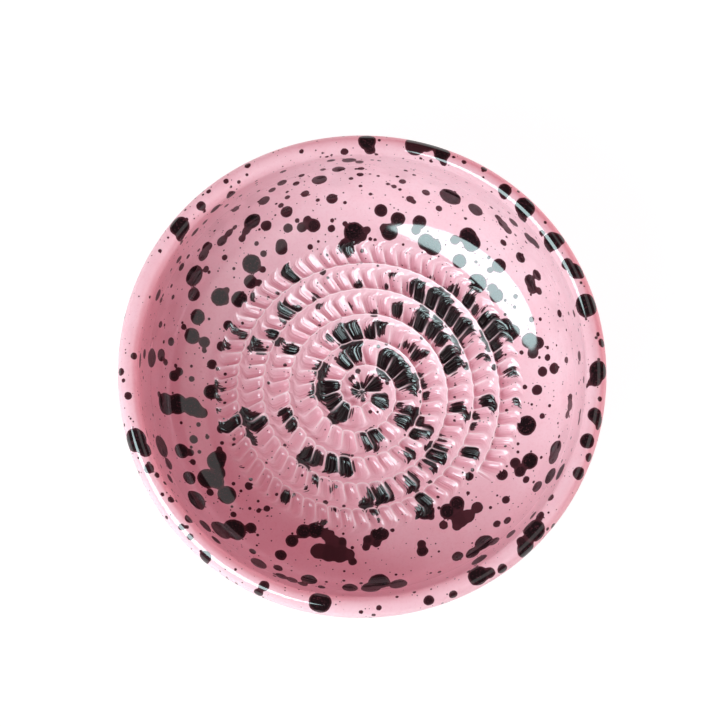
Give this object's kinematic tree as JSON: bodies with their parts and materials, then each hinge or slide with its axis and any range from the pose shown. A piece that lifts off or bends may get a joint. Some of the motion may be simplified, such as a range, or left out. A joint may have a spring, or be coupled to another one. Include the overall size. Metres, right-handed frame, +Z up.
{
  "type": "grater bowl",
  "caption": "Round glazed clay bowl on a foot ring, with a rolled rim and a spiral of scooped teeth on its floor for grating garlic, ginger or hard cheese.",
  "frame": {"origin": "on the table under the middle of the bowl, at the lowest face of the foot ring", "axes": "+Z up out of the mouth, +X to the right and +Y away from the viewer of the picture; the spiral of teeth begins on +X"},
  "size_m": [0.13, 0.13, 0.044],
  "materials": {
    "splattered_glaze": "glossy pink glaze with black splatter",
    "bare_clay": "matt fired clay, wiped clean of glaze"
  },
  "bodies": {
    "root": {"foot_ring": "bare_clay", "bowl_floor": "splattered_glaze", "bowl_wall": "splattered_glaze", "rim_roll": "splattered_glaze", "grater_spiral": "splattered_glaze"}
  },
  "joints": []
}
